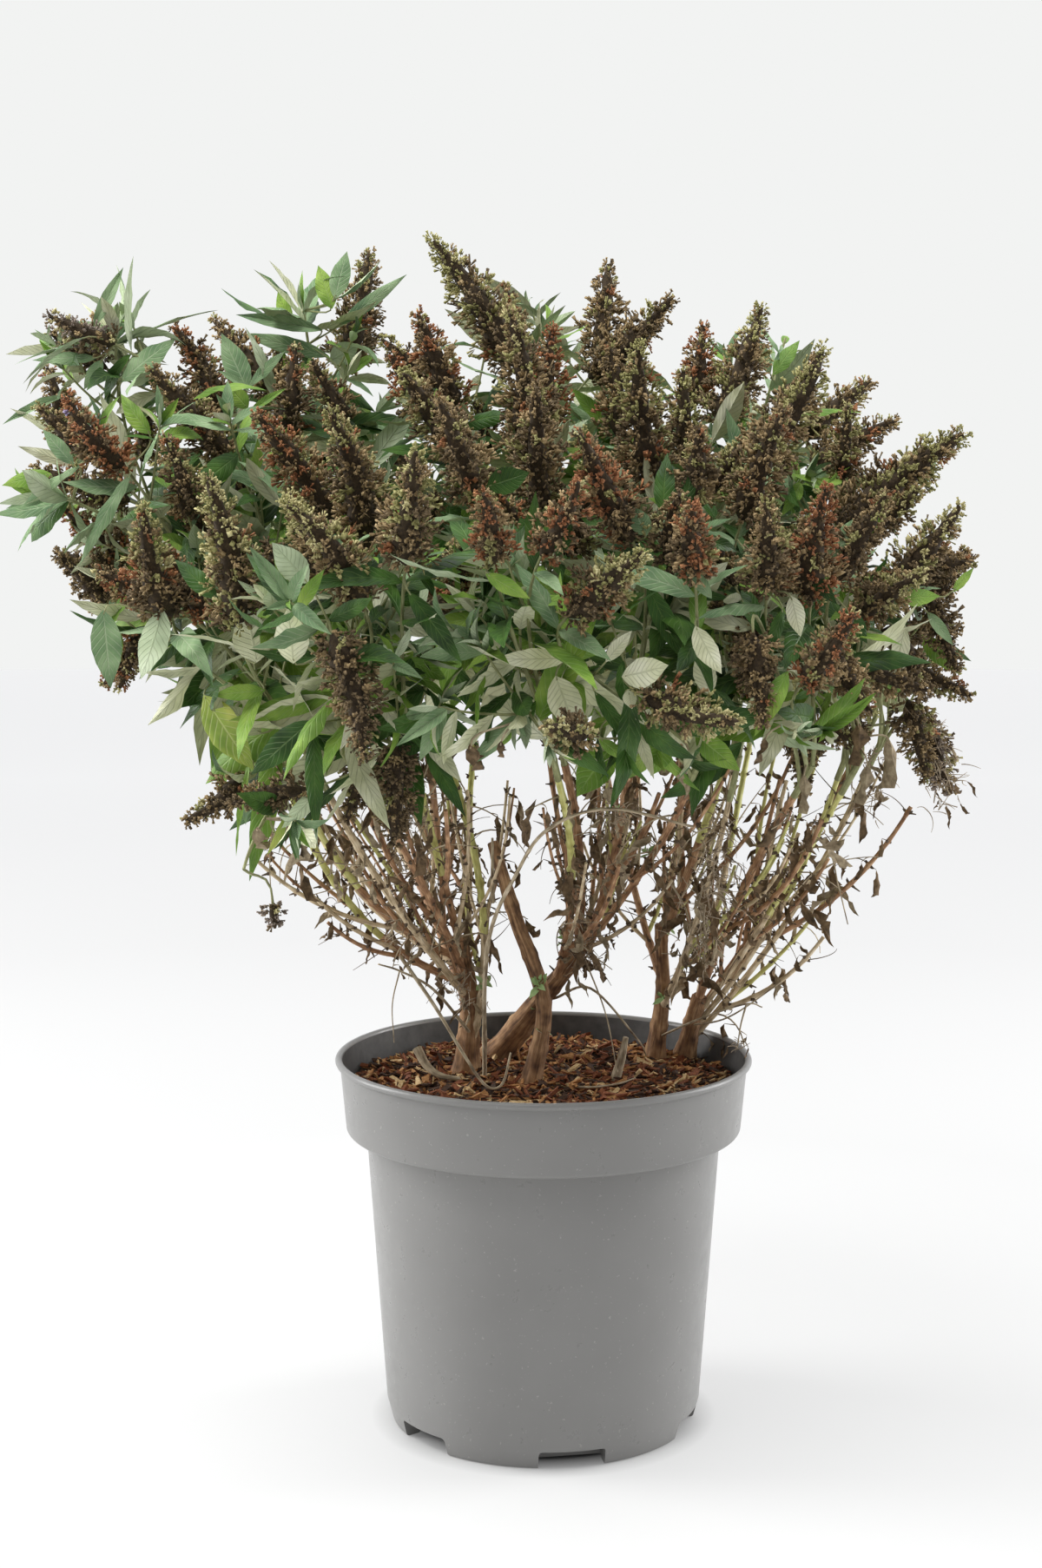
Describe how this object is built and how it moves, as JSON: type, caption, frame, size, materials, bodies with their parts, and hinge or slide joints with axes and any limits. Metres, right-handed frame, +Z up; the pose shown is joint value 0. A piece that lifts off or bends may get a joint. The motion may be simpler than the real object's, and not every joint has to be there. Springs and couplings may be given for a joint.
{
  "type": "butterfly bush in a pot",
  "caption": "Flowering shrub in a round grey nursery pot: woody stems and bare canes carry a wide dome of lance-shaped leaves with dry, faded flower spikes.",
  "frame": {"origin": "the middle of the pot's underside, on the surface that the pot stands on", "axes": "+Z up along the pot's axis, -Y towards the side that the picture shows, +X to the right of that view"},
  "size_m": [0.6699, 0.597, 0.8406],
  "materials": {
    "pot_plastic": "satin",
    "bark_compost": "rough",
    "stem_bark": "rough",
    "cane_bark": "rough",
    "foliage": "matt"
  },
  "bodies": {
    "root": {"cane_back_centre": "cane_bark", "cane_back_far_right": "cane_bark", "cane_back_left": "cane_bark", "cane_back_middle": "cane_bark", "cane_back_right": "cane_bark", "cane_centre_back": "cane_bark", "cane_centre_crest": "cane_bark", "cane_centre_front": "cane_bark", "cane_centre_heart": "cane_bark", "cane_centre_low": "cane_bark", "cane_centre_right": "cane_bark", "cane_centre_top": "cane_bark", "cane_left_back": "cane_bark", "cane_left_front": "cane_bark", "cane_left_high": "cane_bark", "cane_left_low": "cane_bark", "cane_left_mid": "cane_bark", "cane_left_outer": "cane_bark", "cane_right_back": "cane_bark", "cane_right_crest": "cane_bark", "cane_right_front": "cane_bark", "cane_right_low": "cane_bark", "cane_right_low_front": "cane_bark", "cane_right_outer": "cane_bark", "cane_right_top": "cane_bark", "dry_twig": "cane_bark", "mass_back_centre": "foliage", "mass_back_far_right": "foliage", "mass_back_left": "foliage", "mass_back_middle": "foliage", "mass_back_right": "foliage", "mass_centre_back": "foliage", "mass_centre_crest": "foliage", "mass_centre_front": "foliage", "mass_centre_heart": "foliage", "mass_centre_low": "foliage", "mass_centre_right": "foliage", "mass_centre_top": "foliage", "mass_left_back": "foliage", "mass_left_front": "foliage", "mass_left_high": "foliage", "mass_left_low": "foliage", "mass_left_mid": "foliage", "mass_left_outer": "foliage", "mass_right_back": "foliage", "mass_right_crest": "foliage", "mass_right_front": "foliage", "mass_right_low": "foliage", "mass_right_low_front": "foliage", "mass_right_outer": "foliage", "mass_right_top": "foliage", "pot": "pot_plastic", "soil": "bark_compost", "stem_centre": "stem_bark", "stem_far_right": "stem_bark", "stem_leaning": "stem_bark", "stem_left": "stem_bark", "stem_right": "stem_bark"}
  },
  "joints": []
}
